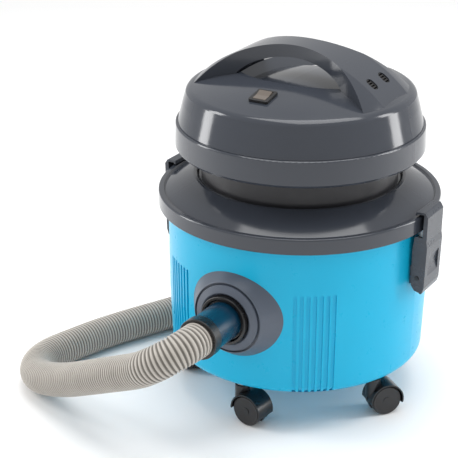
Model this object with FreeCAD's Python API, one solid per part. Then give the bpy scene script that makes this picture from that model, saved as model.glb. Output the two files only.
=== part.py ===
import FreeCAD, Part
import math
import os

# Shop vacuum: a round tub on five twin-wheel casters, a clamped lid with the motor head, and a hose.
# Millimetres. Z is up, the floor is z = 0 and the tub's axis is the Z axis.
# The hose inlet faces -Y. The handle and the two latches lie along X.

os.makedirs("parts", exist_ok=True)
V = FreeCAD.Vector
X_AXIS, Y_AXIS, Z_AXIS = V(1, 0, 0), V(0, 1, 0), V(0, 0, 1)
ORIGIN = V(0, 0, 0)

# Fits
gap = 0.3                # between pieces that move apart
running = 0.05           # radial clearance of a pin or shaft in its bore
touch = 0.02             # between pieces fastened to each other
seat = 0.15              # between curved faces fastened to each other

# Tub
tub_bottom = 55.5
tub_top = 262.0
tub_foot_r = 163.5
tub_mid_r = 166.8
tub_mid_z = 135.0
tub_r = 167.5
tub_neck_z = 250.0
tub_corner_r = 12.0
wall = 3.0
bead_r = 175.6
bead_h = 5.0
ledge_z = 250.0
ledge_w = 5.0

# Fluted panels
flute_angle = 35.5
flute_count = 7
flute_pitch = 8.1
flute_w = 4.4
flute_depth = 1.7
flute_bottom = 57.0
flute_top = 192.0

# Lid
rim_r = 180.0
rim_bottom = 251.0
rim_top = 271.0
lid_inner_r = 118.0
ridge_r = 133.0
ridge_z = 291.0
recess = 3.5             # from the ridge down to the lid's inner floor
neck_r = 125.0
gasket_h = 2.6

# Head
skirt_bottom = 326.0
skirt_top = 360.0
skirt_r = 158.0
shoulder_r = 137.0
shoulder_z = 404.5
crown_z = 424.0
cover_side_r = 144.0
cover_side_z = 399.0
shell = 3.0
head_screw_r = 2.0
head_screw_at = 134.0
gland_r = 8.0
gland_bore_r = 4.0
gland_z = 343.0

# Handle
handle_top = 460.0
handle_half_span = 128.0
handle_rise = 53.0
handle_arch_r = (handle_half_span ** 2 + handle_rise ** 2) / (2 * handle_rise)
handle_half_w = 19.0
foot_half_w = 62.0
foot_x = 115.0
foot_end = 133.5
grip_half_span = 80.0
grip_z = 444.0
foot_z = 400.0
scoop_half_w = 73.0
scoop_front = -57.0
handle_screw_x = 100.0
handle_screw_y = 28.0
handle_screw_r = 1.85
vent_x = 105.0
vent_y = 16.0
vent_l = 17.0
vent_w = 13.0
vent_slope = 36.0

# Inlet and hose
inlet_z = 157.5
boss_r = 46.5
boss_face = 180.0
boss_front = 185.0
boss_slope = 0.674       # radius gained per millimetre towards the tub
ring_r = 31.3
ring_front = 191.0
cuff_r = 24.4
cuff_bore_r = 20.0
cuff_root = 150.0
cuff_end = 249.0
collar_r = 26.0
collar_w = 14.0
cuff_tip = 12.0          # how far the cuff's end stops short of the collar's front
hose_r = 22.0
wand_cuff_len = 62.0
wand_socket_r = 17.5
wand_socket_len = 40.0
spigot_r = 27.6
spigot_bore_r = 24.5
spigot_back = 112.0
spigot_flange_r = 43.0
inlet_screw_r = 1.6
inlet_screw_count = 4
inlet_screw_pitch_r = 36.5
inlet_screw_seat = 159.0
# The hose's line: from the inlet collar down to the floor, round the tub, and a loop behind it
hose_route = [(0, -237.5, 157.5), (0, -258, 157.5), (-9, -278, 152), (-23, -290, 142), (-40, -294, 131),
              (-58, -289, 119), (-92, -280, 102), (-142, -266, 77), (-200, -247, 47), (-256, -227, 26),
              (-284, -201, 22.3), (-292, -167, 22.3), (-281, -124, 22.3), (-266, -74, 22.3),
              (-244, -22, 22.3), (-219, 30, 22.3), (-190, 95, 22.3), (-146, 159, 22.3), (-84, 218, 22.3),
              (-44, 272, 22.3), (-32, 339, 22.3), (-49, 403, 22.3), (-93, 454, 22.3), (-155, 481, 22.3),
              (-222, 478, 22.3), (-281, 446, 22.3), (-319, 391, 22.3), (-330, 325, 22.3)]

# Bag and filter
bag_r = 112.0
bag_low = tub_bottom + wall + 0.6
bag_high = 104.0
bag_plate_t = 3.0
filter_r = 148.0
filter_depth = 44.0

# Latches
latch_w = 46.0
latch_outer_x = 190.0
latch_bottom = 170.0
latch_top = 278.0
latch_wall = 4.0
hook_reach = 172.5
hook_drop = 273.2
pivot_x = 178.0
pivot_z = 190.0
pivot_r = 3.0
bracket_w = 34.0
latch_open = 35.0        # how far the latch swings out, in degrees

# Casters
caster_r = 142.0
caster_angles = (0.0, 72.0, 144.0, -144.0, -72.0)
caster_heading = (83.0, 141.0, 205.0, -120.0, 28.0)
wheel_r = 20.0
wheel_w = 10.2
web_w = 4.6
hood_r = 22.6
hood_w = 29.0
hood_bore_r = 20.9
trail = 14.5
caster_neck_r = 9.5
caster_neck_top = 50.0
stem_r = 4.0
stem_low = 37.0
axle_r = 2.5

# Motor
motor_r = 60.0
motor_h = 78.0
motor_gasket_h = 7.0
shaft_r = 4.0
fan_r = 50.0
plate_h = 4.0
plate_low = ridge_z - recess + touch
plate_z = plate_low + plate_h
motor_bottom = plate_z + motor_gasket_h
motor_top = motor_bottom + motor_h
fan_z = motor_bottom + 10

# Rocker switch
switch_y = -96.0
switch_tilt = 11.0
bezel_w = 26.0
bezel_l = 28.0
rocker_w = 17.0
rocker_l = 19.0
rocker_pin_r = 1.5
rocker_pin_z = -3.0      # from the crown's surface
rocker_rest = 7.0        # tilt at rest, in degrees: the front half is pressed


def save(node, shape):
    shape.exportStep("parts/" + node + ".step")
    print(node, round(shape.Volume), "mm3", len(shape.Solids), "solid(s)")


def corner_path(points):
    """Where the arc of each (a, b, radius) corner starts and ends; an (a, b) corner stays sharp."""
    flat = [V(p[0], p[1], 0) for p in points]
    radii = [p[2] if len(p) > 2 else 0.0 for p in points]
    starts, ends, arcs = [], [], []
    for i, p in enumerate(flat):
        r = radii[i]
        if r == 0:
            starts.append(p)
            ends.append(p)
            arcs.append(None)
            continue
        u = (flat[i - 1] - p).normalize()
        v = (flat[(i + 1) % len(flat)] - p).normalize()
        half = u.getAngle(v) / 2
        a, b = p + u * (r / math.tan(half)), p + v * (r / math.tan(half))
        middle = p + (u + v).normalize() * (r / math.sin(half) - r)
        starts.append(a)
        ends.append(b)
        arcs.append((a, middle, b))
    return starts, ends, arcs


def outline(points, to_space):
    """The wire of corner_path with each flat point placed by to_space(a, b)."""
    starts, ends, arcs = corner_path(points)
    edges = []
    for i in range(len(points)):
        if arcs[i]:
            edges.append(Part.Arc(*[to_space(p.x, p.y) for p in arcs[i]]).toShape())
        nxt = starts[(i + 1) % len(points)]
        if (nxt - ends[i]).Length > 1e-6:
            edges.append(Part.LineSegment(to_space(ends[i].x, ends[i].y), to_space(nxt.x, nxt.y)).toShape())
    return Part.Wire(edges)


def revolved(points, axis="z"):
    """A body turned from (radius, height) points about a vertical or an inlet-direction axis."""
    if axis == "z":
        wire = outline(points, lambda a, b: V(a, 0, b))
        return Part.Face(wire).revolve(ORIGIN, Z_AXIS, 360)
    wire = outline(points, lambda a, b: V(a, -b, inlet_z))
    return Part.Face(wire).revolve(V(0, 0, inlet_z), Y_AXIS, 360)


def prism(points, plane, low, high):
    """A body pushed from an outline drawn in the xz or xy plane."""
    if plane == "xz":
        wire = outline(points, lambda a, b: V(a, low, b))
        return Part.Face(wire).extrude(V(0, high - low, 0))
    wire = outline(points, lambda a, b: V(a, b, low))
    return Part.Face(wire).extrude(V(0, 0, high - low))


def disc(radius, z_low, z_high, x=0.0, y=0.0):
    return Part.makeCylinder(radius, z_high - z_low, V(x, y, z_low))


def tube(outer, inner, z_low, z_high, x=0.0, y=0.0):
    return disc(outer, z_low, z_high, x, y).cut(disc(inner, z_low - 1, z_high + 1, x, y))


def box(x0, x1, y0, y1, z0, z1):
    return Part.makeBox(x1 - x0, y1 - y0, z1 - z0, V(x0, y0, z0))


def turned(shape, angle, centre=ORIGIN, axis=Z_AXIS):
    copy = shape.copy()
    copy.rotate(centre, axis, angle)
    return copy


def polar(radius, angle):
    """The point at a radius and an angle counted from -Y towards +X."""
    a = math.radians(angle)
    return V(radius * math.sin(a), -radius * math.cos(a), 0)


def along_inlet(radius, near, far):
    """A cylinder on the inlet's axis, from one distance to another in front of the tub's axis."""
    return Part.makeCylinder(radius, far - near, V(0, -near, inlet_z), V(0, -1, 0))


def fused(shapes):
    first = shapes[0]
    rest = shapes[1:]
    return first.fuse(rest).removeSplitter() if rest else first


# ---------------------------------------------------------------- tub

def tub_outside(grow=0.0):
    """The tub's outer shape as a full body, grown or shrunk square to its wall."""
    return revolved([(0, tub_bottom - grow), (tub_foot_r + grow, tub_bottom - grow, tub_corner_r + grow),
                     (tub_mid_r + grow, tub_mid_z), (tub_r + grow, tub_neck_z),
                     (tub_r + grow, tub_top + 5), (0, tub_top + 5)])


def make_tub():
    inner_r = tub_r - wall
    body = revolved([(0, tub_bottom), (tub_foot_r, tub_bottom, tub_corner_r), (tub_mid_r, tub_mid_z),
                     (tub_r, tub_neck_z), (tub_r, tub_top - bead_h), (bead_r, tub_top - bead_h, 1.2),
                     (bead_r, tub_top, 1.2), (inner_r, tub_top), (inner_r, ledge_z),
                     (inner_r - ledge_w, ledge_z), (inner_r - 0.1, ledge_z - 6),
                     (tub_mid_r - wall, tub_mid_z), (tub_foot_r - wall, tub_bottom + wall,
                                                     tub_corner_r - wall), (0, tub_bottom + wall)])
    sockets = [disc(stem_r + 5, tub_bottom + 0.5, tub_bottom + 26, *polar(caster_r, a)[:2])
               for a in caster_angles]
    bores = [disc(stem_r + running, tub_bottom - 1, tub_bottom + 22, *polar(caster_r, a)[:2])
             for a in caster_angles]
    body = body.fuse(sockets)
    core = tub_outside(-flute_depth)
    flutes = []
    for side in (-1, 1):
        for i in range(flute_count):
            turn = side * flute_angle + math.degrees((i - (flute_count - 1) / 2) * flute_pitch / tub_r)
            slot = box(-flute_w / 2, flute_w / 2, -tub_r - 5, -tub_r + 15, flute_bottom,
                       flute_top - flute_w / 2)
            top = Part.makeCylinder(flute_w / 2, 20, V(0, -tub_r + 15, flute_top - flute_w / 2), V(0, -1, 0))
            flutes.append(turned(slot.fuse(top), turn))
    inlet = along_inlet(spigot_r + gap, tub_r - 30, tub_r + 10)
    screw_holes = [Part.makeCylinder(inlet_screw_r + running, 40, inlet_screw_at(i, tub_r - 30), V(0, -1, 0))
                   for i in range(inlet_screw_count)]
    return body.cut(bores).cut([f.cut(core) for f in flutes]).cut([inlet] + screw_holes)


# ---------------------------------------------------------------- inlet

def inlet_screw_at(index, distance):
    a = math.radians(45 + 90 * index)
    return V(inlet_screw_pitch_r * math.cos(a), -distance, inlet_z + inlet_screw_pitch_r * math.sin(a))


def make_inlet_boss():
    back = boss_face - 36
    base_r = boss_r + boss_slope * (boss_face - back)
    body = revolved([(ring_r + gap, back), (base_r, back), (boss_r, boss_face, 1.5),
                     (boss_r - 0.6, boss_face), (boss_r - 0.6, boss_face - 3),
                     (boss_r - 3.6, boss_face - 3), (boss_r - 3.6, boss_face + 1.2, 0.8),
                     (ring_r + 2.6, boss_front, 1.6), (ring_r + gap, boss_front - 2)], axis="inlet")
    hollow = revolved([(ring_r + 5, back - 1), (base_r - 4.5, back - 1),
                       (boss_r - 3.6, boss_face - 9), (ring_r + 5, boss_face - 9)], axis="inlet")
    posts = [Part.makeCylinder(4.2, 26, inlet_screw_at(i, 150), V(0, -1, 0))
             for i in range(inlet_screw_count)]
    holes = [Part.makeCylinder(inlet_screw_r + touch, 28, inlet_screw_at(i, 150), V(0, -1, 0))
             for i in range(inlet_screw_count)]
    return body.cut(hollow).fuse(posts).cut(holes).cut(tub_outside(touch))


def make_inlet_spigot():
    """The spigot inside the tub: the cuff plugs into it and the bag's collar slides over it."""
    flange = along_inlet(spigot_flange_r, tub_r - 22, tub_r)
    flange = flange.common(tub_outside(-wall - seat)).cut(tub_outside(-wall - 3.0 - seat))
    pipe = along_inlet(spigot_r, spigot_back, boss_front - 14)
    holes = [Part.makeCylinder(inlet_screw_r + touch, 60, inlet_screw_at(i, 120), V(0, -1, 0))
             for i in range(inlet_screw_count)]
    spot_faces = [Part.makeCylinder(3.4, 20, inlet_screw_at(i, inlet_screw_seat + touch), Y_AXIS)
                  for i in range(inlet_screw_count)]
    bore = along_inlet(spigot_bore_r, spigot_back - 1, boss_front)
    return fused([flange, pipe]).cut([bore] + holes + spot_faces)


def make_inlet_screws():
    screws = []
    for i in range(inlet_screw_count):
        head = Part.makeCylinder(3.2, 2.2, inlet_screw_at(i, inlet_screw_seat - 2.2), V(0, -1, 0))
        shank = Part.makeCylinder(inlet_screw_r, 17, inlet_screw_at(i, inlet_screw_seat - 0.2), V(0, -1, 0))
        slot = box(-0.4, 0.4, -1.2, 0.2, -3, 3)
        slot.translate(inlet_screw_at(i, inlet_screw_seat - 2.2))
        screws.append(head.fuse(shank).cut(slot))
    return Part.makeCompound(screws)


def make_bayonet_ring():
    return revolved([(cuff_r + touch, boss_front - 13), (ring_r, boss_front - 13),
                     (ring_r, ring_front, 1.2), (cuff_r + 3.2, ring_front, 0.8),
                     (cuff_r + 1.2, ring_front - 3), (cuff_r + touch, ring_front - 3)], axis="inlet")


def make_inlet_cuff():
    return revolved([(cuff_bore_r, cuff_root), (cuff_r - 0.1, cuff_root, 0.8),
                     (cuff_r - 0.1, boss_front - 14), (cuff_r, boss_front - 13), (cuff_r, ring_front + 6),
                     (cuff_r - 0.9, cuff_end - collar_w), (cuff_r - 0.9, cuff_end - cuff_tip),
                     (cuff_bore_r, cuff_end - cuff_tip)], axis="inlet")


def make_cuff_collar():
    return revolved([(cuff_r - 0.9 + touch, cuff_end - collar_w), (collar_r, cuff_end - collar_w, 1.2),
                     (collar_r, cuff_end, 1.2), (hose_r + 0.1, cuff_end),
                     (hose_r + 0.1, cuff_end - cuff_tip + touch),
                     (cuff_r - 0.9 + touch, cuff_end - cuff_tip + touch)], axis="inlet")


def route_path(points):
    """Straight runs joined by tangent arcs, each as large as its two runs allow."""
    p = [V(*q) for q in points]
    edges, here, radii = [], p[0], []
    for i in range(1, len(p) - 1):
        u, v = (p[i - 1] - p[i]), (p[i + 1] - p[i])
        run = 0.45 * min(u.Length, v.Length)
        u.normalize()
        v.normalize()
        half = u.getAngle(v) / 2
        radius = run * math.tan(half)
        a, b = p[i] + u * run, p[i] + v * run
        middle = p[i] + (u + v).normalize() * (radius / math.sin(half) - radius)
        edges.append(Part.LineSegment(here, a).toShape())
        edges.append(Part.Arc(a, middle, b).toShape())
        radii.append(radius)
        here = b
    edges.append(Part.LineSegment(here, p[-1]).toShape())
    return Part.Wire(edges), radii


def make_hose():
    path, radii = route_path(hose_route)
    start = V(*hose_route[0])
    section = Part.Wire([Part.makeCircle(hose_r, start, V(*hose_route[1]) - start)])
    swept = path.makePipeShell([section], True, False)
    expected = math.pi * hose_r ** 2 * path.Length
    print("hose length", round(path.Length), "mm, volume over expected", round(swept.Volume / expected, 5))
    print("hose bend radii", [round(r) for r in radii])
    return swept


def make_wand_cuff():
    """The hose's far cuff, lying straight behind the end of the hose."""
    end, before = V(*hose_route[-1]), V(*hose_route[-2])
    way = (end - before).normalize()
    body = Part.makeCylinder(hose_r, wand_cuff_len, end, way)
    socket = Part.makeCylinder(wand_socket_r, wand_socket_len + 1, end
                               + way * (wand_cuff_len - wand_socket_len), way)
    return body.cut(socket)


# ---------------------------------------------------------------- bag and filter

def make_dust_bag():
    lying = revolved([(0, bag_low), (bag_r, bag_low, 18), (bag_r, bag_high, 18), (0, bag_high)])
    front = spigot_back + 2
    neck = prism([(-40, bag_low + 22), (40, bag_low + 22), (40, inlet_z + 36, 14), (-40, inlet_z + 36, 14)],
                 "xz", -front - 4, -front + 10)
    pocket = along_inlet(spigot_r + 0.6, spigot_back - 2, front + 6)
    return fused([lying, neck]).cut(pocket)


def make_bag_collar():
    front = spigot_back + 2
    plate = prism([(-44, inlet_z - 44, 6), (44, inlet_z - 44, 6), (44, inlet_z + 44, 6),
                   (-44, inlet_z + 44, 6)], "xz", -front - 4 - touch - bag_plate_t, -front - 4 - touch)
    return plate.cut(along_inlet(spigot_r + running, front, front + 10))


def make_filter_ring():
    inner = tub_r - wall
    return revolved([(filter_r - 4, ledge_z + touch), (inner - 0.4, ledge_z + touch),
                     (inner - 0.4, ledge_z + 5, 1), (filter_r - 4, ledge_z + 5, 1)])


def make_filter_cloth():
    low = ledge_z - filter_depth
    return revolved([(filter_r, ledge_z), (filter_r - 14, low + 4, 8), (0, low + 4), (0, low + 2),
                     (filter_r - 12.5, low + 2, 9.5), (filter_r + 2, ledge_z)])


# ---------------------------------------------------------------- lid and neck

def make_lid():
    under = tub_top + gasket_h + gap
    deck_r = bead_r - 4
    return revolved([(bead_r + 0.6, rim_bottom), (rim_r, rim_bottom, 1), (rim_r, rim_top, 2.4),
                     (deck_r + 1.6, rim_top, 0.8), (deck_r, rim_top - 1.8, 0.6),
                     (deck_r - 1.6, rim_top - 0.8), (ridge_r + 2, ridge_z - 0.6, 3),
                     (ridge_r - 2, ridge_z, 2), (ridge_r - 5, ridge_z - recess, 0.8),
                     (neck_r - 4.4, ridge_z - recess), (lid_inner_r, ridge_z - recess),
                     (lid_inner_r, ridge_z - 7.5), (ridge_r - 2, ridge_z - 7.5), (deck_r - 8, under),
                     (bead_r + 0.6, under)])


def make_lid_gasket():
    inner = tub_r - wall
    return tube(bead_r - 1.2, inner + 0.6, tub_top + gap, tub_top + gap + gasket_h - touch)


def make_lid_neck():
    return tube(neck_r, neck_r - 4, ridge_z - recess + touch, skirt_bottom - touch)


# ---------------------------------------------------------------- head

def make_head_skirt():
    body = revolved([(lid_inner_r - 8, skirt_bottom), (skirt_r - 3, skirt_bottom, 2.5),
                     (skirt_r, skirt_bottom + 4, 2), (skirt_r - 0.8, skirt_top - touch, 2.2),
                     (skirt_r - 4.6, skirt_top - touch), (skirt_r - 4.6, skirt_bottom + 3.5),
                     (lid_inner_r - 8, skirt_bottom + 3.5)])
    slots = []
    for i in range(24):
        slot = box(-3, 3, -skirt_r + 9, -neck_r - 6, skirt_bottom - 1, skirt_bottom + 5)
        slots.append(turned(slot, 15 * i + 7.5))
    gland = Part.makeCylinder(gland_r + touch, 20, V(0, skirt_r - 12, gland_z), Y_AXIS)
    holes = [disc(head_screw_r + running, skirt_bottom - 1, skirt_bottom + 6,
                  *polar(head_screw_at, 45 + 90 * i)[:2]) for i in range(4)]
    return body.cut(slots).cut([gland] + holes)


def make_cable_gland():
    """The grommet that a mains cable would pass through, in the back of the head."""
    wire = outline([(gland_bore_r, skirt_r - 9), (gland_r, skirt_r - 9), (gland_r, skirt_r + 0.1),
                    (gland_r + 3, skirt_r + 0.1), (gland_r + 3, skirt_r + 2, 1),
                    (gland_r - 1, skirt_r + 5, 1), (gland_bore_r, skirt_r + 5)], lambda a,
                   b: V(a, b, gland_z))
    return Part.Face(wire).revolve(V(0, 0, gland_z), Y_AXIS, 360)


def cover_outside(shrink=0.0):
    """The top cover as a full body, shrunk square to its wall."""
    s = shrink
    base = skirt_top if s == 0 else skirt_top - 1
    edge_r = shoulder_r - 2
    p = [V(0, 0, base), V(skirt_r - 4 - s, 0, base), V(skirt_r - 4 - s, 0, skirt_top + 1),
         V(skirt_r - 10 - s, 0, 385), V(cover_side_r - s, 0, cover_side_z),
         V(shoulder_r + 2.5 - s * 0.7, 0, shoulder_z - 0.9 - s * 0.7),
         V(edge_r - s, 0, crown_edge_z(edge_r) - s), V(0, 0, crown_z - s)]
    half_way = (edge_r - s) / 2
    crown_mid = V(half_way, 0, crown_edge_z(half_way) - s)
    edges = [Part.LineSegment(p[0], p[1]).toShape(), Part.LineSegment(p[1], p[2]).toShape(),
             Part.LineSegment(p[2], p[3]).toShape(), Part.LineSegment(p[3], p[4]).toShape(),
             Part.Arc(p[4], p[5], p[6]).toShape(), Part.Arc(p[6], crown_mid, p[7]).toShape(),
             Part.LineSegment(p[7], p[0]).toShape()]
    return Part.Face(Part.Wire(edges)).revolve(ORIGIN, Z_AXIS, 360)


def crown_edge_z(radius):
    """The crown's height at a radius from the axis."""
    crown_r = (shoulder_r ** 2 + (crown_z - shoulder_z) ** 2) / (2 * (crown_z - shoulder_z))
    return crown_z - crown_r + math.sqrt(crown_r ** 2 - radius ** 2)


def scoop_wire(spread, z):
    """The scoop's plan outline at one height, open to the back, spread outwards at its front and sides."""
    half, front = scoop_half_w + spread, scoop_front - spread
    corner, back = front + 24, 200
    points = [V(half, corner, z), V(half, back, z), V(-half, back, z), V(-half, corner, z)]
    edges = [Part.Arc(points[3], V(0, front, z), points[0]).toShape()]
    edges += [Part.LineSegment(points[i], points[i + 1]).toShape() for i in range(3)]
    return Part.Wire(edges)


def scoop(grow=0.0):
    """What is cut from the crown under the handle: sloped sides, a barrel-shaped floor, open at the back."""
    g = grow
    window = Part.makeLoft([scoop_wire(g - 22, 385), scoop_wire(g + 6, 435)], True, True)
    axis_z = 222.0
    ridge = [V(0, -90, axis_z), V(0, -90, 412.5 - g), V(0, 0, 417 - g), V(0, 60, 412 - g), V(0, 210, 374 - g),
             V(0, 210, axis_z)]
    edges = [Part.LineSegment(ridge[0], ridge[1]).toShape(), Part.Arc(ridge[1], ridge[2], ridge[3]).toShape()]
    edges += [Part.LineSegment(ridge[i], ridge[(i + 1) % 6]).toShape() for i in range(3, 6)]
    barrel = Part.Face(Part.Wire(edges)).revolve(V(0, 0, axis_z), Y_AXIS, 360)
    return window.cut(barrel)


def in_switch_frame(shape):
    """Moves a shape drawn about the origin, facing up, to the switch's place on the crown."""
    moved = turned(shape, switch_tilt, ORIGIN, X_AXIS)
    moved.translate(V(0, switch_y, crown_edge_z(-switch_y)))
    return moved


def make_top_cover():
    outside = cover_outside().cut(scoop())
    inside = cover_outside(shell).cut(scoop(shell))
    posts = [disc(5.5, skirt_top - 24, 412, *polar(head_screw_at, 45 + 90 * i)[:2]) for i in range(4)]
    post_bores = [disc(head_screw_r + touch, skirt_top - 25, 380, *polar(head_screw_at, 45 + 90 * i)[:2])
                  for i in range(4)]
    body = outside.cut(inside).fuse([post.common(outside_solid_below(outside)) for post in posts])
    window = in_switch_frame(box(-bezel_w / 2 + 2, bezel_w / 2 - 2, -bezel_l / 2 + 2, bezel_l / 2 - 2, -8, 8))
    handle_holes = [disc(handle_screw_r + 0.2, 380, 440, sx * handle_screw_x, sy * handle_screw_y)
                    for sx in (-1, 1) for sy in (-1, 1)]
    return body.cut(post_bores + [window] + handle_holes)


def outside_solid_below(outside):
    """The cover's body, continued down to where the screw posts start."""
    return outside.fuse(disc(skirt_r - 6, skirt_top - 30, skirt_top + 1))


# ---------------------------------------------------------------- handle

def make_handle():
    arch = disc_across(handle_arch_r, handle_top - handle_arch_r)
    flare_sag = foot_half_w - handle_half_w
    flare_radius = (foot_x ** 2 + flare_sag ** 2) / (2 * flare_sag)
    waists = [disc(flare_radius, 380, 470, 0, side * (handle_half_w + flare_radius)) for side in (-1, 1)]
    ellipse = Part.Ellipse(V(grip_half_span, 0, foot_z), V(0, 0, grip_z), V(0, 0, foot_z))
    ellipse_face = Part.Face(Part.Wire([ellipse.toShape()]))
    ellipse_face.translate(V(0, -120, 0))
    grip = ellipse_face.extrude(V(0, 240, 0))
    dome = Part.makeSphere(handle_arch_r + 3, V(0, 0, handle_top - handle_arch_r))
    body = arch.common(dome).common(disc(foot_end, 380, 470)).cut(waists).cut(grip)
    body = body.cut(cover_outside(-touch))
    body = body.cut(box(-grip_half_span, grip_half_span, -130, 130, 380, 409))
    pockets = [vent_pocket(sx, sy, 0.0, 5.0) for sx in (-1, 1) for sy in (-1, 1)]
    bores = [disc(handle_screw_r + running, 380, 426, sx * handle_screw_x, sy * handle_screw_y)
             for sx in (-1, 1) for sy in (-1, 1)]
    return body.cut(pockets + bores)


def disc_across(radius, z):
    """A wide disc standing on its edge, with its axis along Y."""
    return Part.makeCylinder(radius, 260, V(0, -130, z), Y_AXIS)


def handle_surface_z(x):
    return handle_top - handle_arch_r + math.sqrt(handle_arch_r ** 2 - x ** 2)


def vent_pocket(side_x, side_y, clear, depth):
    half_l, half_w = vent_l / 2 - clear, vent_w / 2 - clear
    body = prism([(-half_l, -half_w, half_w * 0.9), (half_l, -half_w, half_w * 0.9),
                  (half_l, half_w, half_w * 0.9), (-half_l, half_w, half_w * 0.9)], "xy", -depth,
                 12 if clear == 0 else -1.2)
    body = turned(body, side_x * vent_slope, ORIGIN, Y_AXIS)
    body.translate(V(side_x * vent_x, side_y * vent_y, handle_surface_z(vent_x)))
    return body


def make_vent_grilles():
    grilles = []
    for side_x in (-1, 1):
        for side_y in (-1, 1):
            plate = vent_pocket(side_x, side_y, 0.1, 4.9)
            cuts = []
            for i in range(4):
                groove = box(-1.0, 1.0, -4.4, 4.4, -3.4, 3)
                groove.translate(V(-5.7 + 3.8 * i, 0, 0))
                groove = turned(groove, side_x * vent_slope, ORIGIN, Y_AXIS)
                groove.translate(V(side_x * vent_x, side_y * vent_y, handle_surface_z(vent_x)))
                cuts.append(groove)
            grilles.append(plate.cut(cuts))
    return Part.makeCompound(grilles)


def screw(radius, length, head_radius, head_height, x, y, z_head):
    """A screw with its head at z_head, its shank pointing up from it, and a crosswise slot."""
    body = disc(head_radius, z_head - head_height, z_head, x,
                y).fuse(disc(radius, z_head - 0.5, z_head + length, x, y))
    slot = box(x - head_radius, x + head_radius, y - 0.4, y + 0.4, z_head - head_height - 1,
               z_head - head_height + 1)
    return body.cut(slot)


def make_head_screws():
    return Part.makeCompound([screw(head_screw_r, 40, 4, 2.4, *polar(head_screw_at, 45 + 90 * i)[:2],
                                    skirt_bottom - touch) for i in range(4)])


def make_handle_screws():
    screws = []
    for sx in (-1, 1):
        for sy in (-1, 1):
            screws.append(screw(handle_screw_r, 15, 4, 2.2, sx * handle_screw_x, sy * handle_screw_y, 408.7))
    return Part.makeCompound(screws)


# ---------------------------------------------------------------- switch

def make_switch_bezel():
    frame = prism([(-bezel_w / 2, -bezel_l / 2, 2), (bezel_w / 2, -bezel_l / 2, 2),
                   (bezel_w / 2, bezel_l / 2, 2), (-bezel_w / 2, bezel_l / 2, 2)], "xy", 0.4, 3.0)
    body = box(-bezel_w / 2 + 2.1, bezel_w / 2 - 2.1, -bezel_l / 2 + 2.1, bezel_l / 2 - 2.1, -14, 0.6)
    window = box(-rocker_w / 2 - gap, rocker_w / 2 + gap, -rocker_l / 2 - 1.5, rocker_l / 2 + 1.5, -15, 5)
    pin = Part.makeCylinder(rocker_pin_r, bezel_w - 4.4, V(-bezel_w / 2 + 2.2, 0, rocker_pin_z), X_AXIS)
    return in_switch_frame(frame.fuse(body).cut(window).fuse(pin).removeSplitter())


def make_rocker():
    """Two flats that meet in a shallow valley over the pin, resting with its front half pressed."""
    half = rocker_l / 2
    wire = outline([(-half, 4.6, 1.0), (0, 3.2, 12), (half, 4.6, 1.0), (half - 1.5, -6, 1),
                    (-half + 1.5, -6, 1)], lambda a, b: V(-rocker_w / 2, a, b))
    body = Part.Face(wire).extrude(V(rocker_w, 0, 0))
    bore = Part.makeCylinder(rocker_pin_r + running, rocker_w + 2, V(-rocker_w / 2 - 1, 0, rocker_pin_z),
                             X_AXIS)
    return in_switch_frame(turned(body.cut(bore), rocker_rest, V(0, 0, rocker_pin_z), X_AXIS))


def make_switch_body():
    body = box(-bezel_w / 2 + 2.1, bezel_w / 2 - 2.1, -bezel_l / 2 + 2.1, bezel_l / 2 - 2.1, -24, -14 - touch)
    tabs = [box(-2.4, 2.4, y - 0.4, y + 0.4, -31, -23.5) for y in (-8, 0, 8)]
    return in_switch_frame(fused([body] + tabs))


# ---------------------------------------------------------------- motor

def make_motor_plate():
    """The plate that carries the motor: it lies on the lid's inner edge, inside the neck."""
    plate = tube(neck_r - 4.4, 30, plate_low, plate_z)
    lip = tube(lid_inner_r - gap, lid_inner_r - 4, plate_low - 6, plate_low + 0.2)
    return plate.fuse(lip)


def make_intake_grille():
    low = 262.0
    high = plate_low - touch
    cup = revolved([(0, low), (62, low, 6), (62, high), (59.5, high), (59.5, low + 2.5, 4), (0, low + 2.5)])
    slots = [turned(box(-3, 3, -70, -50, low + 6, high - 4), 20 * i) for i in range(18)]
    rings = [turned(box(-2.5, 2.5, -50, -16, low - 1, low + 4), 30 * i) for i in range(12)]
    return cup.cut(slots + rings)


def make_motor_gasket():
    return tube(56, 42, plate_z + touch, motor_bottom - touch)


def make_motor_housing():
    t = 2.5
    step = fan_z + 24
    body = revolved([(30, motor_bottom), (motor_r, motor_bottom, 2), (motor_r, step, 4), (46, step + 3, 4),
                     (46, motor_top, 5), (shaft_r + running, motor_top), (shaft_r + running, motor_top - 5),
                     (9, motor_top - 5), (9, motor_top - t), (43.5, motor_top - t, 3), (43.5, step + 1, 3),
                     (motor_r - t, step - 2, 2), (motor_r - t, motor_bottom + t), (30, motor_bottom + t)])
    spider = [turned(box(-4, 4, -31, -5, motor_bottom, motor_bottom + t), 120 * i) for i in range(3)]
    hub = disc(9, motor_bottom, motor_bottom + 6)
    vents = [turned(box(-3, 3, -50, -40, step + 12, motor_top - 12), 30 * i) for i in range(12)]
    return body.fuse(spider + [hub]).cut([disc(shaft_r + running, motor_bottom - 1, motor_bottom + 8)]
                                         + vents)


def make_motor_rotor():
    shaft = disc(shaft_r, motor_bottom + 0.5, motor_top + 3)
    fan = fused([disc(fan_r, fan_z, fan_z + 1.5), disc(10, fan_z - 1, fan_z + 18)] +
                [turned(box(-0.8, 0.8, -fan_r + 1, -8, fan_z + 1, fan_z + 15), 45 * i) for i in range(8)])
    armature = disc(28, fan_z + 31, fan_z + 55)
    commutator = disc(12, fan_z + 55, fan_z + 61)
    return fused([shaft, fan, armature, commutator])


def make_sound_foam():
    return tube(104, 84, plate_z + touch, 380)


# ---------------------------------------------------------------- latches

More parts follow.
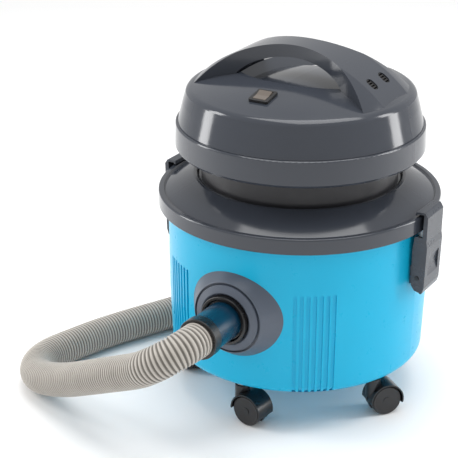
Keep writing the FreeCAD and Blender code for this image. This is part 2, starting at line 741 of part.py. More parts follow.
def latch_profile():
    """The latch seen from its end, for the +X side: hook, back, finger tab."""
    x, t = latch_outer_x, latch_wall
    return [(hook_reach, hook_drop), (hook_reach + 2.6, hook_drop, 0.8),
            (hook_reach + 3.4, latch_top - 3, 0.8), (rim_r + 4.4, latch_top - 3, 1.5),
            (rim_r + 3.2, rim_bottom - 4, 3), (x - t - 1, 232), (x - t - 3.5, latch_bottom + 7, 2),
            (x - 9, latch_bottom, 2), (x - 4.5, latch_bottom, 2), (x - 2, latch_bottom + 8, 4), (x, 232, 6),
            (x - 1.2, 240, 3), (x - 0.6, latch_top - 6, 2), (x - 4.5, latch_top, 2),
            (hook_reach + 1.5, latch_top - 0.6, 1.5)]


def make_latch(side):
    half = latch_w / 2
    back = prism(latch_profile(), "xz", -half, half)
    cheek_profile = [(pivot_x - 7.4, latch_bottom + 4, 4), (latch_outer_x - 7, latch_bottom + 1, 2),
                     (latch_outer_x - 3, 226), (latch_outer_x - 3, rim_bottom - 6),
                     (pivot_x - 5, rim_bottom - 6, 2), (pivot_x - 7.4, 226)]
    cheeks = [prism(cheek_profile, "xz", low, low + 4) for low in (-half, half - 4)]
    bore = Part.makeCylinder(pivot_r + running, latch_w + 2, V(pivot_x, -half - 1, pivot_z), Y_AXIS)
    finger = Part.makeCylinder(40, 30, V(latch_outer_x + 36.5, -15, 205), Y_AXIS)
    body = fused([back] + cheeks).cut([bore, finger])
    open_tub = turned(tub_outside(gap + 0.3), -latch_open, V(pivot_x, 0, pivot_z), Y_AXIS)
    body = body.cut([tub_outside(gap + 0.2), open_tub])
    body = body.cut(revolved([(0, rim_bottom - 3), (rim_r + 0.6, rim_bottom - 3),
                              (rim_r + 0.6, hook_drop - 0.1), (0, hook_drop - 0.1)]))
    return body if side > 0 else turned(body, 180)


def make_latch_brackets():
    half = bracket_w / 2
    ear = pivot_r + 1.3
    profile = [(pivot_x - 14, pivot_z - 13), (pivot_x + ear, pivot_z - ear + 1.5, ear - 0.2),
               (pivot_x + ear, pivot_z + ear, ear - 0.2), (pivot_x - 14, pivot_z + 14)]
    block = prism(profile, "xz", -half, half)
    block = block.cut(prism([(pivot_x - 6, pivot_z - 14), (pivot_x + 9, pivot_z - 14),
                             (pivot_x + 9, pivot_z + 14), (pivot_x - 6, pivot_z + 14)], "xz", -half + 8,
                            half - 8))
    block = block.cut(Part.makeCylinder(pivot_r + touch, latch_w, V(pivot_x, -latch_w / 2, pivot_z), Y_AXIS))
    block = block.cut(tub_outside(touch))
    return Part.makeCompound([block, turned(block, 180)])


def make_latch_pins():
    pin = Part.makeCylinder(pivot_r, latch_w + 1.6, V(pivot_x, -latch_w / 2 - 0.8, pivot_z), Y_AXIS)
    return Part.makeCompound([pin, turned(pin, 180)])


# ---------------------------------------------------------------- casters

def caster_place(shape, index):
    """Moves a caster's piece, drawn with its swivel on the Z axis and its wheels towards -Y, into place."""
    moved = turned(shape, caster_heading[index])
    moved.translate(polar(caster_r, caster_angles[index]))
    return moved


def make_caster_hood():
    centre = V(0, -trail, wheel_r)
    half = hood_w / 2
    across = lambda radius, w: Part.makeCylinder(radius, 2 * w, V(-w, -trail, wheel_r), X_AXIS)
    shell_ring = across(hood_r, half).cut(across(hood_bore_r, half + 1))
    low_front = box(-half - 1, half + 1, -trail - 40, -trail + 40, -10, wheel_r - 10)
    behind = turned(low_front, -14, centre, X_AXIS)
    shell_ring = shell_ring.cut([box(-half - 1, half + 1, -trail, -trail + 40, -10, wheel_r - 1), behind])
    web = across(hood_bore_r + 0.5, web_w / 2).cut(box(-half, half, -60, 60, -10, 7))
    boss = across(6.5, web_w / 2 + 0.5)
    neck = disc(caster_neck_r, 26, caster_neck_top).cut(across(hood_bore_r, half))
    inner_neck = box(-web_w / 2, web_w / 2, -6, 9, 20, 42)
    body = fused([shell_ring, web, boss, neck, inner_neck])
    return body.cut([disc(stem_r + running, stem_low, caster_neck_top + 1), across(axle_r + touch, half)])


def make_caster_stems():
    stems = []
    for i in range(len(caster_angles)):
        pin = fused([disc(stem_r, stem_low + 1, tub_bottom + 21),
                     disc(stem_r + 3.5, caster_neck_top + 0.6, tub_bottom - touch)])
        pin.translate(polar(caster_r, caster_angles[i]))
        stems.append(pin)
    return Part.makeCompound(stems)


def make_caster_wheel(side):
    inner = web_w / 2 + 0.9
    outer = inner + wheel_w
    wire = outline([(axle_r + running, inner), (wheel_r - 1, inner), (wheel_r, inner + 1.2),
                    (wheel_r, outer - 2, 1.4), (wheel_r - 2, outer, 0.8), (wheel_r - 3.2, outer - 0.5, 0.3),
                    (5, outer - 0.5), (5, outer + 0.1), (0.0, outer + 0.1), (0.0, outer - 2.5),
                    (axle_r + running, outer - 2.5)], lambda a, b: V(side * b, -trail, wheel_r + a))
    return Part.Face(wire).revolve(V(0, -trail, wheel_r), X_AXIS, 360)


def make_caster_axle():
    half = web_w / 2 + 0.9 + wheel_w - 2.6
    return Part.makeCylinder(axle_r, 2 * half, V(-half, -trail, wheel_r), X_AXIS)


# ---------------------------------------------------------------- build

save("tub", make_tub())
save("inlet_boss", make_inlet_boss())
save("inlet_spigot", make_inlet_spigot())
save("inlet_screws", make_inlet_screws())
save("bayonet_ring", make_bayonet_ring())
save("inlet_cuff", make_inlet_cuff())
save("cuff_collar", make_cuff_collar())
save("hose_tube", make_hose())
save("wand_cuff", make_wand_cuff())
save("dust_bag", make_dust_bag())
save("bag_collar", make_bag_collar())
save("filter_ring", make_filter_ring())
save("filter_cloth", make_filter_cloth())
save("latch_brackets", make_latch_brackets())
save("latch_pins", make_latch_pins())
save("latch_right", make_latch(1))
save("latch_left", make_latch(-1))
save("lid", make_lid())
save("lid_gasket", make_lid_gasket())
save("lid_neck", make_lid_neck())
save("head_skirt", make_head_skirt())
save("cable_gland", make_cable_gland())
save("top_cover", make_top_cover())
save("handle", make_handle())
save("vent_grilles", make_vent_grilles())
save("head_screws", make_head_screws())
save("handle_screws", make_handle_screws())
save("switch_bezel", make_switch_bezel())
save("rocker", make_rocker())
save("switch_body", make_switch_body())
save("motor_plate", make_motor_plate())
save("intake_grille", make_intake_grille())
save("motor_gasket", make_motor_gasket())
save("motor_housing", make_motor_housing())
save("motor_rotor", make_motor_rotor())
save("sound_foam", make_sound_foam())
save("caster_stems", make_caster_stems())
for index in range(len(caster_angles)):
    name = "caster_" + str(index + 1)
    save(name + "_hood", caster_place(make_caster_hood(), index))
    save(name + "_axle", caster_place(make_caster_axle(), index))
    save(name + "_wheel_left", caster_place(make_caster_wheel(-1), index))
    save(name + "_wheel_right", caster_place(make_caster_wheel(1), index))
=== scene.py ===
# %% [markdown]
# # A drum vacuum cleaner
#
# The object is a small drum vacuum: a cyan tub on five twin-wheel casters, a grey lid with the motor head
# and its carrying handle, two side latches, and a corrugated hose that leaves the front inlet, runs over
# the floor and lies in a loose loop behind the tub. The engineering model already holds every rigid piece
# at its true size. This lesson loads that model as a fixed frame, adds the soft pieces, and gives every
# surface the finish of the real one.

# %% Load the fixed frame
import math

import bmesh
import bpy
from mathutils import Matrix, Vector
from mathutils.bvhtree import BVHTree


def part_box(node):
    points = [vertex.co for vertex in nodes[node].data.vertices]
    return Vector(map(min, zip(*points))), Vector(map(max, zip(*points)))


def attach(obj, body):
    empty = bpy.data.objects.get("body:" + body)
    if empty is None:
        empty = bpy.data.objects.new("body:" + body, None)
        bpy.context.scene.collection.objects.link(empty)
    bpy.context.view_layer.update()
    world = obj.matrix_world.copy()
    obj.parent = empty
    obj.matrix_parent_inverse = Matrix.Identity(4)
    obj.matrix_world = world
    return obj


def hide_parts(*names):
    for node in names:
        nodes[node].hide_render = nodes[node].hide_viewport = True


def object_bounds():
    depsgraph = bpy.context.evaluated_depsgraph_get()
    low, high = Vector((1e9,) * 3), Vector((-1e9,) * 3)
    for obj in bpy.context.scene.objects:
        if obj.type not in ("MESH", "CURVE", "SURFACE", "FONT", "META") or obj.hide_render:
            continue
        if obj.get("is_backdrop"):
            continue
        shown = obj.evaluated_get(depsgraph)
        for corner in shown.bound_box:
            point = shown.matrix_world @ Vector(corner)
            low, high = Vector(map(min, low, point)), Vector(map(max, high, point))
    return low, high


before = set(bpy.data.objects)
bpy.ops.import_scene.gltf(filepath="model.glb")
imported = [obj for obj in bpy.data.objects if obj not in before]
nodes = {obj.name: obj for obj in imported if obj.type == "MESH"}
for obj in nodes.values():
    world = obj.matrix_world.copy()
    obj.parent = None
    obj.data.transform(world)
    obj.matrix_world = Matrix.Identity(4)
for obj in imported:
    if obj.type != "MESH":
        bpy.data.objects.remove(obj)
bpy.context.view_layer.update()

# %% [markdown]
# ## The camera
#
# A picture of a product is taken from far away with a long lens, so that circles stay round and the near
# caster isn't much larger than the far one. The camera stands to the right of the inlet, above the handle,
# and looks down at the tub. Its place and direction are given in the object's own frame, so the view
# doesn't depend on the order of steps.

# %% Place the camera
camera_place = Vector((0.8679, -1.6323, 0.9873))
camera_way = Vector((-0.4717, 0.7917, -0.3882))
camera_data = bpy.data.cameras.new("camera")
camera_data.sensor_width = 36
camera_data.lens = 121.7
camera = bpy.data.objects.new("camera", camera_data)
bpy.context.scene.collection.objects.link(camera)
camera.location = camera_place
camera.rotation_mode = "QUATERNION"
camera.rotation_quaternion = camera_way.to_track_quat("-Z", "Y")
bpy.context.scene.camera = camera
print("camera lens", camera_data.lens, "mm")

# %% [markdown]
# ## A studio
#
# Glossy dark plastic shows the lights more than its own colour. Two tall soft boxes at the sides draw the
# bright upright strips near the outline, a wide one overhead lights the crown and the lid's deck, and a
# pale surround keeps the shadows open. The floor is a plain pale sheet.

# %% Build the floor and the lights
scene = bpy.context.scene
scene.view_settings.view_transform = "Standard"


def linear(code):
    """An sRGB hex colour as the linear RGBA that shaders work in."""
    parts = [int(code[i:i + 2], 16) / 255 for i in (1, 3, 5)]
    return [c / 12.92 if c <= 0.04045 else ((c + 0.055) / 1.055) ** 2.4 for c in parts] + [1.0]


def add(material, kind, values=None, links=None, **settings):
    """Adds one shader node: values fill its sockets, links join other outputs to them."""
    node = material.node_tree.nodes.new("ShaderNode" + kind)
    for key, value in settings.items():
        setattr(node, key, value)
    for key, value in (values or {}).items():
        node.inputs[key].default_value = value
    for key, source in (links or {}).items():
        material.node_tree.links.new(source, node.inputs[key])
    return node


def surface(name, **sockets):
    """A new material, its shader with plain numbers in its own sockets, and the place on the object."""
    material = bpy.data.materials.new(name)
    material.use_nodes = True
    shader = material.node_tree.nodes["Principled BSDF"]
    for key, value in sockets.items():
        shader.inputs[key.replace("_", " ")].default_value = value
    place = add(material, "TexCoord").outputs["Object"]
    return material, shader, place


def join(material, source, socket):
    material.node_tree.links.new(source, socket)


def add_object(name, mesh, material):
    """An object at the origin for a finished mesh."""
    obj = bpy.data.objects.new(name, mesh)
    mesh.materials.clear()
    mesh.materials.append(material)
    bpy.context.scene.collection.objects.link(obj)
    return obj


floor_paper, shader, place = surface("studio_paper_matt_white", Roughness=0.9, Specular_IOR_Level=0.1)
shader.inputs["Base Color"].default_value = linear("#FBFBFB")
bm = bmesh.new()
bmesh.ops.create_circle(bm, cap_ends=True, radius=9.0, segments=96)
floor_mesh = bpy.data.meshes.new("studio_floor")
bm.to_mesh(floor_mesh)
bm.free()
add_object("studio_floor", floor_mesh, floor_paper)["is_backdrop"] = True

world = bpy.data.worlds.new("studio")
scene.world = world
world.use_nodes = True
world.node_tree.nodes["Background"].inputs["Color"].default_value = linear("#FFFFFF")
world.node_tree.nodes["Background"].inputs["Strength"].default_value = 0.7


def soft_box(name, place, target, width, height, power):
    """A soft box is an area light turned towards a point."""
    data = bpy.data.lights.new(name, "AREA")
    data.shape = "RECTANGLE"
    data.size, data.size_y, data.energy = width, height, power
    light = bpy.data.objects.new(name, data)
    bpy.context.scene.collection.objects.link(light)
    light.location = place
    light.rotation_mode = "QUATERNION"
    light.rotation_quaternion = (Vector(target) - Vector(place)).to_track_quat("-Z", "Y")


object_middle = (0, 0, 0.25)
soft_box("overhead_box", (0.1, 0.2, 2.4), object_middle, 1.8, 1.8, 34)
soft_box("left_strip", (-1.75, -0.75, 0.9), object_middle, 0.45, 1.7, 20)
soft_box("right_strip", (1.55, 1.05, 0.9), object_middle, 0.45, 1.7, 18)
print("lights", len(bpy.data.lights))

# %% [markdown]
# ## The hose
#
# A vacuum hose is an extruded plastic tube with a rib every few millimetres, so it bends like a limp cable.
# Its line is one smooth NURBS spline through the air and over the floor. Only one rib is modelled: a short
# profile is spun round the X axis, an Array modifier repeats it, and a Curve modifier lays the row of ribs
# along the spline. The modifiers are applied at the end, so that the finished mesh stays where it was laid.
# A number kept on each point says how far up the rib it is, and the finish uses it to paint shade into the
# grooves.

# %% Lay out the hose's line
hose_points = [
    (0, -0.2375, 0.1575), (0, -0.258, 0.1575), (-0.009, -0.278, 0.152), (-0.023, -0.29, 0.142),
    (-0.04, -0.294, 0.131), (-0.058, -0.289, 0.119), (-0.092, -0.28, 0.102), (-0.142, -0.266, 0.077),
    (-0.2, -0.247, 0.047), (-0.256, -0.227, 0.026), (-0.284, -0.201, 0.0223), (-0.292, -0.167, 0.0223),
    (-0.281, -0.124, 0.0223), (-0.266, -0.074, 0.0223), (-0.244, -0.022, 0.0223), (-0.219, 0.03, 0.0223),
    (-0.19, 0.095, 0.0223), (-0.146, 0.159, 0.0223), (-0.084, 0.218, 0.0223), (-0.044, 0.272, 0.0223),
    (-0.032, 0.339, 0.0223), (-0.049, 0.403, 0.0223), (-0.093, 0.454, 0.0223), (-0.155, 0.481, 0.0223),
    (-0.222, 0.478, 0.0223), (-0.281, 0.446, 0.0223), (-0.319, 0.391, 0.0223), (-0.33, 0.325, 0.0223)]
line_data = bpy.data.curves.new("hose_line", "CURVE")
line_data.dimensions = "3D"
line_data.twist_mode = "MINIMUM"
spline = line_data.splines.new("NURBS")
spline.points.add(len(hose_points) - 1)
for point, where in zip(spline.points, hose_points):
    point.co = (*where, 1)
spline.order_u = 3
spline.use_endpoint_u = True
line_data.resolution_u = 24
hose_line = bpy.data.objects.new("hose_line", line_data)
scene.collection.objects.link(hose_line)
bpy.context.view_layer.update()
line_mesh = bpy.data.meshes.new_from_object(hose_line)
hose_path = [v.co.copy() for v in line_mesh.vertices]
hose_length = sum((b - a).length for a, b in zip(hose_path, hose_path[1:]))
bpy.data.meshes.remove(line_mesh)
print("hose line", round(hose_length, 3), "m")

# %% Model one rib and repeat it
HOSE_R = 0.022
GROOVE_R = 0.0203
RIB_PITCH = 0.0045
rib_count = round(hose_length / RIB_PITCH)
pitch = hose_length / rib_count
rib_shape = [(0.0, 0.0), (0.17, 0.10), (0.28, 0.72), (0.40, 1.0),
             (0.66, 1.0), (0.78, 0.72), (0.89, 0.10), (1.0, 0.0)]
bm = bmesh.new()
crest = bm.verts.layers.float.new("crest")
profile = []
for along, up in rib_shape:
    vert = bm.verts.new((along * pitch, 0, GROOVE_R + up * (HOSE_R - GROOVE_R)))
    vert[crest] = up
    profile.append(vert)
edges = [bm.edges.new(pair) for pair in zip(profile, profile[1:])]
bmesh.ops.spin(bm, geom=profile + edges, cent=(0, 0, 0), axis=(1, 0, 0), angle=math.tau, steps=32,
               use_merge=True)
bmesh.ops.recalc_face_normals(bm, faces=bm.faces)
for face in bm.faces:
    face.smooth = True
rib_mesh = bpy.data.meshes.new("rib")
bm.to_mesh(rib_mesh)
bm.free()
print("rib faces", len(rib_mesh.polygons), "ribs", rib_count)


def applied(obj):
    """The mesh that an object shows after its modifiers, as a new mesh."""
    graph = bpy.context.evaluated_depsgraph_get()
    graph.update()
    return bpy.data.meshes.new_from_object(obj.evaluated_get(graph))


rib = bpy.data.objects.new("rib", rib_mesh)
scene.collection.objects.link(rib)
row = rib.modifiers.new("row", "ARRAY")
row.count = rib_count
row.use_relative_offset = False
row.use_constant_offset = True
row.constant_offset_displace = (pitch, 0, 0)
row.use_merge_vertices = True
row.merge_threshold = 0.0001
lay = rib.modifiers.new("lay", "CURVE")
lay.object = hose_line
lay.deform_axis = "POS_X"
hose_mesh = applied(rib)
bpy.data.objects.remove(rib)
bpy.data.objects.remove(hose_line)

# %% [markdown]
# ### The hose's finish
#
# The hose is ethylene vinyl acetate, extruded and then corrugated in a warm mould. It is soft, a little
# waxy, and dust settles in its grooves, so the grooves are duller than the ribs. Their darker colour is
# painted shade. The colour runs along the number that was kept on each point, and a fine noise breaks it up.

# %% Mix the hose's finish
hose_eva, shader, place = surface("eva_corrugated_hose_beige", IOR=1.48)
height = add(hose_eva, "Attribute", attribute_name="crest").outputs["Fac"]
grime = add(hose_eva, "TexNoise", {"Scale": 1000 / 18, "Detail": 5.0}, {"Vector": place}).outputs[0]
uneven = add(hose_eva, "Math", {1: 0.35, 2: -0.12}, {0: grime}, operation="MULTIPLY_ADD").outputs[0]
groove_shade_height = add(hose_eva, "Math", {}, {0: height, 1: uneven}, operation="ADD", use_clamp=True).outputs[0]
# The ramp paints shade into the grooves: dark at the bottom of each groove and light on the crest.
ramp = add(hose_eva, "ValToRGB", {}, {0: groove_shade_height})
ramp.color_ramp.elements[0].color = linear("#6A655E")
ramp.color_ramp.elements[1].color = linear("#B8B2AA")
middle = ramp.color_ramp.elements.new(0.55)
middle.color = linear("#8C8780")
join(hose_eva, ramp.outputs[0], shader.inputs["Base Color"])
dull = add(hose_eva, "MapRange", {"To Min": 0.72, "To Max": 0.42}, {"Value": groove_shade_height}).outputs[0]
join(hose_eva, dull, shader.inputs["Roughness"])
fine = add(hose_eva, "TexNoise", {"Scale": 1000 / 1.5, "Detail": 2.0}, {"Vector": place}).outputs[0]
bump = add(hose_eva, "Bump", {"Strength": 0.4, "Distance": 0.0001}, {"Height": fine}).outputs[0]
join(hose_eva, bump, shader.inputs["Normal"])
hose = add_object("corrugated_hose", hose_mesh, hose_eva)
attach(hose, "tub")
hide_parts("hose_tube")
print("hose faces", len(hose_mesh.polygons))

# %% [markdown]
# ## Moulded plastics
#
# Nearly all of the vacuum is injection-moulded plastic, and what tells one piece from another is the mould.
# A polished mould gives gloss, a spark-eroded one gives a fine grain, and every large wall is slightly
# uneven, because the plastic shrinks as it sets. One recipe holds all of that: a slow drift between two
# near tones, a second noise that makes the gloss uneven, as handling does, a fine grain, and a slow wave,
# both as bump. The numbers given to it say which mould it was. Sizes are in millimetres, and a noise's
# scale is one over its size in metres.

# %% The recipe for a moulded plastic
def moulded(name, colour, shade, roughness, grain_mm, grain_depth_mm, wave_depth_mm=0.03, ior=1.49):
    material, shader, place = surface(name, IOR=ior)
    drift = add(material, "TexNoise", {"Scale": 1000 / 90, "Detail": 3.0}, {"Vector": place}).outputs[0]
    tone = add(material, "Mix", {6: linear(colour), 7: linear(shade)}, {0: drift},
               data_type="RGBA").outputs[2]
    join(material, tone, shader.inputs["Base Color"])
    rub = add(material, "TexNoise", {"Scale": 1000 / 14, "Detail": 8.0, "Roughness": 0.7},
              {"Vector": place}).outputs[0]
    level = add(material, "MapRange", {"From Min": 0.3, "From Max": 0.7, "To Min": roughness * 0.85,
                                       "To Max": roughness * 1.2}, {"Value": rub}).outputs[0]
    join(material, level, shader.inputs["Roughness"])
    wave = add(material, "TexNoise", {"Scale": 1000 / 55, "Detail": 1.0}, {"Vector": place}).outputs[0]
    slow = add(material, "Bump", {"Strength": 1.0, "Distance": wave_depth_mm / 1000},
               {"Height": wave}).outputs[0]
    grain = add(material, "TexNoise", {"Scale": 1000 / grain_mm, "Detail": 3.0}, {"Vector": place}).outputs[0]
    both = add(material, "Bump", {"Strength": 0.6, "Distance": grain_depth_mm / 1000},
               {"Height": grain, "Normal": slow}).outputs[0]
    join(material, both, shader.inputs["Normal"])
    return material


def finish_nodes(material, slot, *names):
    """Gives CAD nodes a finish."""
    for name in names:
        node = nodes[name]
        node.data.materials.clear()
        node.data.materials.append(material)


casters = ["caster_" + str(index) for index in range(1, 6)]

# %% [markdown]
# ### Tub, head and lid
#
# The tub is polypropylene, dyed right through and moulded in a polished tool, so it's smooth and a little
# waxy. The head and the lid are ABS from a mirror-polished tool, much glossier. The neck between them,
# which nobody looks at, comes from a plain tool.

# %% Finish the large shells
tub_plastic = moulded("polypropylene_polished_cyan", "#14B4DC", "#0FABD4", 0.3, 1.6, 0.012, 0.05)
head_plastic = moulded("abs_mirror_moulded_slate", "#3B3F47", "#363A42", 0.12, 1.2, 0.004, 0.03, 1.53)
neck_plastic = moulded("polypropylene_plain_moulded_dark", "#2C2C30", "#262629", 0.4, 1.0, 0.02)
tub_plastic.node_tree.nodes["Principled BSDF"].inputs["Specular IOR Level"].default_value = 0.3
finish_nodes(tub_plastic, "tub_cyan", "tub")
finish_nodes(head_plastic, "slate_gloss", "lid", "head_skirt", "top_cover", "handle")
finish_nodes(neck_plastic, "neck_dark", "lid_neck")

# %% [markdown]
# ### Boss, latches and black fittings
#
# The inlet boss and the latches come from a spark-eroded tool: an even satin with a grain of about 0.8 mm.
# The inlet ring, the collar and the wand cuff are nylon, black and smooth. The swivel cuff is glossy PVC in
# petrol blue.

# %% Finish the fittings
satin_plastic = moulded("polypropylene_spark_grained_grey", "#565E6B", "#4F5662", 0.38, 0.8, 0.02)
black_nylon = moulded("nylon_smooth_moulded_black", "#171515", "#110F10", 0.28, 0.9, 0.01, 0.02, 1.53)
black_abs = moulded("abs_grained_black", "#1D1C1D", "#171617", 0.45, 0.7, 0.025)
petrol_pvc = moulded("pvc_glossy_petrol_blue", "#0B344B", "#092D42", 0.2, 1.0, 0.006, 0.03, 1.53)
latch_plastic = moulded("polypropylene_fine_grained_slate", "#3C4149", "#373B43", 0.28, 0.6, 0.01)
finish_nodes(satin_plastic, "satin_grey", "inlet_boss")
finish_nodes(latch_plastic, "satin_grey", "latch_left", "latch_right", "latch_brackets")
finish_nodes(black_nylon, "black_plastic", "bayonet_ring", "cuff_collar", "wand_cuff", "inlet_spigot",
             "cable_gland",
             "filter_ring")
finish_nodes(black_abs, "black_plastic", "vent_grilles", "switch_bezel", "switch_body", "motor_housing",
             "motor_plate", "intake_grille")
finish_nodes(petrol_pvc, "petrol_blue", "inlet_cuff")

# %% [markdown]
# ### Switch and casters
#
# The rocker is smoked polycarbonate: a brown, see-through plastic with the gloss of glass. The caster hoods
# are glass-filled nylon, and the wheels are polyolefin, duller where they roll.

# %% Finish the rocker and the casters
rocker_plastic = moulded("polycarbonate_smoked_brown", "#6C635B", "#5C544D", 0.12, 0.8, 0.004, 0.01, 1.58)
hood_nylon = moulded("nylon_glass_filled_black", "#1C1E22", "#16171A", 0.3, 0.8, 0.02, 0.03, 1.53)
wheel_plastic = moulded("polyolefin_wheel_black", "#2E2C2D", "#242324", 0.42, 1.0, 0.04)
finish_nodes(rocker_plastic, "smoked_rocker", "rocker")
finish_nodes(hood_nylon, "caster_black", *[name + "_hood" for name in casters])
finish_nodes(wheel_plastic, "wheel_black",
             *[name + side for name in casters for side in ("_wheel_left", "_wheel_right")])

# %% [markdown]
# ## Metal, rubber and card
#
# Screws, pins, axles and stems are turned steel with bright zinc on it, so their faint tool marks run round
# them. The rotor is a stack of steel sheets with copper ends, a pressed aluminium fan and a steel shaft,
# which one finish can tell apart by height. The seals are EPDM rubber, matt and slightly dusty.

# %% Finish the metal pieces
zinc_steel, shader, place = surface("steel_turned_zinc_plated", Metallic=1.0)
tint = add(zinc_steel, "TexNoise", {"Scale": 1000 / 4, "Detail": 3.0}, {"Vector": place}).outputs[0]
zinc = add(zinc_steel, "Mix", {6: linear("#C4C6C9"), 7: linear("#AEB1B6")}, {0: tint},
           data_type="RGBA").outputs[2]
join(zinc_steel, zinc, shader.inputs["Base Color"])
turning = add(zinc_steel, "TexNoise", {"Scale": 1000 / 0.5, "Detail": 2.0}, {"Vector": place}).outputs[0]
level = add(zinc_steel, "MapRange", {"To Min": 0.22, "To Max": 0.42}, {"Value": turning}).outputs[0]
join(zinc_steel, level, shader.inputs["Roughness"])
marks = add(zinc_steel, "Bump", {"Strength": 0.4, "Distance": 0.00003}, {"Height": turning}).outputs[0]
join(zinc_steel, marks, shader.inputs["Normal"])
finish_nodes(zinc_steel, "steel", "inlet_screws", "caster_stems", "head_screws", "handle_screws",
             *[name + "_axle" for name in casters])

oxide_steel = moulded("steel_black_oxide", "#1C1C1E", "#161618", 0.38, 0.5, 0.01)
finish_nodes(oxide_steel, "steel", "latch_pins")

rotor_metal, shader, place = surface("rotor_aluminium_steel_and_copper", Metallic=1.0, Roughness=0.34)
rotor_low, rotor_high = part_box("motor_rotor")
up = add(rotor_metal, "SeparateXYZ", {}, {0: place}).outputs["Z"]
share = add(rotor_metal, "MapRange", {"From Min": rotor_low.z, "From Max": rotor_high.z},
            {"Value": up}).outputs[0]
bands = add(rotor_metal, "ValToRGB", {}, {0: share})
bands.color_ramp.interpolation = "CONSTANT"
bands.color_ramp.elements[0].color = linear("#C9CACC")
bands.color_ramp.elements[1].position = 0.49
bands.color_ramp.elements[1].color = linear("#B2683C")
for at, code in ((0.54, "#6E6B68"), (0.74, "#B2683C"), (0.79, "#A8A9AB")):
    bands.color_ramp.elements.new(at).color = linear(code)
join(rotor_metal, bands.outputs[0], shader.inputs["Base Color"])
sheets = add(rotor_metal, "TexNoise", {"Scale": 1000 / 0.6, "Detail": 1.0}, {"Vector": place}).outputs[0]
stack = add(rotor_metal, "Bump", {"Strength": 0.5, "Distance": 0.0001}, {"Height": sheets}).outputs[0]
join(rotor_metal, stack, shader.inputs["Normal"])
finish_nodes(rotor_metal, "motor_steel", "motor_rotor")

# %% Finish the seals and the bag's card
seal_rubber, shader, place = surface("epdm_rubber_moulded_black", IOR=1.5, Roughness=0.75)
bloom = add(seal_rubber, "TexNoise", {"Scale": 1000 / 8, "Detail": 6.0}, {"Vector": place}).outputs[0]
dusty = add(seal_rubber, "Mix", {6: linear("#1B1B1B"), 7: linear("#2A2A2B")}, {0: bloom},
            data_type="RGBA").outputs[2]
join(seal_rubber, dusty, shader.inputs["Base Color"])
skin = add(seal_rubber, "Bump", {"Strength": 0.5, "Distance": 0.0001}, {"Height": bloom}).outputs[0]
join(seal_rubber, skin, shader.inputs["Normal"])
finish_nodes(seal_rubber, "rubber", "lid_gasket", "motor_gasket")

bag_card, shader, place = surface("cardboard_pressed_brown", IOR=1.45, Roughness=0.85)
stretched = add(bag_card, "Mapping", {"Scale": (1.0, 1.0, 6.0)}, {"Vector": place}).outputs[0]
fibre = add(bag_card, "TexNoise", {"Scale": 1000 / 5, "Detail": 8.0}, {"Vector": stretched}).outputs[0]
pulp = add(bag_card, "Mix", {6: linear("#B08A60"), 7: linear("#94714B")}, {0: fibre},
           data_type="RGBA").outputs[2]
join(bag_card, pulp, shader.inputs["Base Color"])
nap = add(bag_card, "Bump", {"Strength": 0.5, "Distance": 0.0002}, {"Height": fibre}).outputs[0]
join(bag_card, nap, shader.inputs["Normal"])
finish_nodes(bag_card, "card", "bag_collar")

# %% [markdown]
# ## The dust bag and the sound foam
#
# The bag is sewn from polyester fleece and blown open by the air that goes through it, so it is round and
# slightly puckered. The foam is a cut ring of open-cell polyurethane. Both start as a copy of their CAD
# solid, a little smaller, which is remeshed to even squares. A cloth simulation with air pressure inside
# and no gravity swells them. No point may move far, and any that ends outside the CAD solid is put back
# just inside it, so the spigot and the motor stay clear. One subdivision then smooths the squares.

# %% Swell the bag and the foam
CLEARANCE = 0.0004
MERGE_DISTANCE = 0.00001
PRESSURE = 4.0
LAST_FRAME = 20


def swollen(name, source, shrink_mm, cell_mm, most_mm, material):
    """A padded piece in the place of a CAD node."""
    start = nodes[source].data.copy()
    bm = bmesh.new()
    bm.from_mesh(start)
    bmesh.ops.remove_doubles(bm, verts=bm.verts, dist=MERGE_DISTANCE)
    solid = BVHTree.FromBMesh(bm)
    bm.normal_update()
    for vert in bm.verts:
        vert.co -= vert.normal * shrink_mm / 1000
    bm.to_mesh(start)
    bm.free()
    piece = add_object(name, start, material)
    remesh = piece.modifiers.new("even_squares", "REMESH")
    remesh.mode = "VOXEL"
    remesh.voxel_size = cell_mm / 1000
    piece.data = applied(piece)
    piece.modifiers.clear()
    before = [v.co.copy() for v in piece.data.vertices]
    cloth = piece.modifiers.new("cloth", "CLOTH").settings
    cloth.use_pressure = True
    cloth.uniform_pressure_force = PRESSURE
    cloth.effector_weights.gravity = 0.0
    for step in range(1, LAST_FRAME + 1):
        scene.frame_set(step)
    swelled = applied(piece)
    piece.modifiers.clear()
    piece.data = swelled
    scene.frame_set(1)
    for vert, origin in zip(piece.data.vertices, before):
        move = vert.co - origin
        if move.length > most_mm / 1000:
            vert.co = origin + move * (most_mm / 1000 / move.length)
        near, normal = solid.find_nearest(vert.co)[:2]
        if (vert.co - near).dot(normal) > -CLEARANCE:
            vert.co = near - normal * CLEARANCE
    most_moved = max((vert.co - origin).length for vert, origin in zip(piece.data.vertices, before))
    smooth = piece.modifiers.new("subdivide", "SUBSURF")
    smooth.levels = smooth.render_levels = 1
    finished = applied(piece)
    piece.modifiers.clear()
    piece.data = finished
    for face in finished.polygons:
        face.use_smooth = True
    print(name, "faces", len(finished.polygons), "moved up to", round(1000 * most_moved, 1), "mm")
    return piece


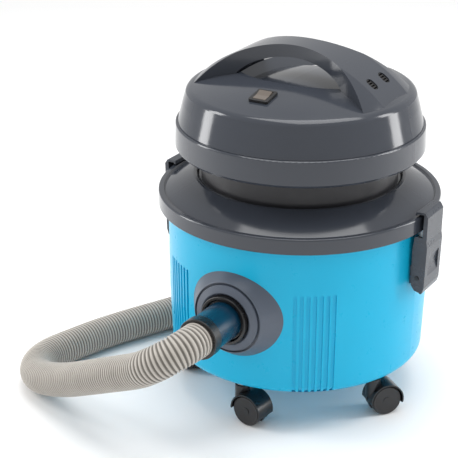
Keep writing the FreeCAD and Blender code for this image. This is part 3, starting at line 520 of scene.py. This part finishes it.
fleece, shader, place = surface("polyester_fleece_spunbonded", IOR=1.45, Roughness=0.95)
felted = add(fleece, "TexNoise", {"Scale": 1000 / 1.2, "Detail": 6.0}, {"Vector": place}).outputs[0]
tufts = add(fleece, "Mix", {6: linear("#D9D5CC"), 7: linear("#BDB8AE")}, {0: felted},
            data_type="RGBA").outputs[2]
join(fleece, tufts, shader.inputs["Base Color"])
fuzz = add(fleece, "Bump", {"Strength": 0.7, "Distance": 0.0003}, {"Height": felted}).outputs[0]
join(fleece, fuzz, shader.inputs["Normal"])
foam, shader, place = surface("polyurethane_foam_open_cell", IOR=1.4, Roughness=0.95)
cells = add(foam, "TexVoronoi", {"Scale": 1000 / 1.6}, {"Vector": place}).outputs["Distance"]
# The darker colour in the middle of each cell is painted shade in the open pores.
pore_shade = add(foam, "Mix", {6: linear("#26262A"), 7: linear("#47474C")}, {0: cells},
             data_type="RGBA").outputs[2]
join(foam, pore_shade, shader.inputs["Base Color"])
pits = add(foam, "Bump", {"Strength": 0.8, "Distance": 0.0005}, {"Height": cells}).outputs[0]
join(foam, pits, shader.inputs["Normal"])
bag = swollen("fleece_bag", "dust_bag", 2.5, 5, 6, fleece)
ring = swollen("foam_ring", "sound_foam", 1.5, 5, 5, foam)
for piece, source, body, slot, fill in ((bag, "dust_bag", "tub", "fleece", 0.7),
                                        (ring, "sound_foam", "head", "foam", 0.5)):
    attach(piece, body)
    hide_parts(source)

# %% [markdown]
# ## The filter
#
# The filter is one round blank of needled polyester, pressed hot into a pan that hangs inside the tub's
# mouth. Its line from the middle outwards is spun once, with shallow pleats where the pressed wall had
# cloth to spare, and a Solidify modifier gives it its thickness.

# %% Spin the filter cloth
CLOTH_THICKNESS = 0.0011
low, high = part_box("filter_cloth")
middle_z = low.z + 0.001
rim_radius = high.x - CLOTH_THICKNESS
pan = [(rim_radius * i / 22 * 0.885, middle_z) for i in range(20)]
pan += [(0.1345, middle_z + 0.0014), (0.1362, middle_z + 0.005), (0.1378, middle_z + 0.01)]
pan += [(0.1378 + (rim_radius - 0.1378) * i / 8, middle_z + 0.01 + (high.z - middle_z - 0.01) * i / 8)
        for i in range(1, 9)]
bm = bmesh.new()
verts = [bm.verts.new((x, 0, z)) for x, z in pan]
edges = [bm.edges.new(pair) for pair in zip(verts, verts[1:])]
bmesh.ops.spin(bm, geom=verts + edges, cent=(0, 0, 0), axis=(0, 0, 1), angle=math.tau, steps=96,
               use_merge=True)
bmesh.ops.remove_doubles(bm, verts=bm.verts, dist=0.00005)
for vert in bm.verts:
    around = math.atan2(vert.co.y, vert.co.x)
    radius = math.hypot(vert.co.x, vert.co.y)
    wall = max(0.0, min(1.0, (vert.co.z - middle_z) / 0.02))
    if radius > 0.001:
        pleat = 1 - wall * 0.0003 * (1 - math.cos(24 * around)) / radius
        vert.co.x *= pleat
        vert.co.y *= pleat
    vert.co.z += (1 - wall) * 0.00025 * math.sin(90 * vert.co.x) * math.sin(70 * vert.co.y + 1)
bmesh.ops.recalc_face_normals(bm, faces=bm.faces)
for face in bm.faces:
    face.smooth = True
cloth_mesh = bpy.data.meshes.new("filter")
bm.to_mesh(cloth_mesh)
bm.free()
needled, shader, place = surface("polyester_needled_filter_cloth", IOR=1.45, Roughness=0.95)
strands = add(needled, "TexNoise", {"Scale": 1000 / 0.8, "Detail": 4.0}, {"Vector": place}).outputs[0]
greys = add(needled, "Mix", {6: linear("#55585C"), 7: linear("#7B7E82")}, {0: strands},
            data_type="RGBA").outputs[2]
join(needled, greys, shader.inputs["Base Color"])
rough_side = add(needled, "Bump", {"Strength": 0.7, "Distance": 0.0002}, {"Height": strands}).outputs[0]
join(needled, rough_side, shader.inputs["Normal"])
pan_cloth = add_object("pressed_filter", cloth_mesh, needled)
thick = pan_cloth.modifiers.new("thickness", "SOLIDIFY")
thick.thickness = CLOTH_THICKNESS
thick.offset = 0
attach(pan_cloth, "tub")
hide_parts("filter_cloth")
print("filter faces", len(cloth_mesh.polygons))

# %% Measure the frame's bounds
low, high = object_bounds()
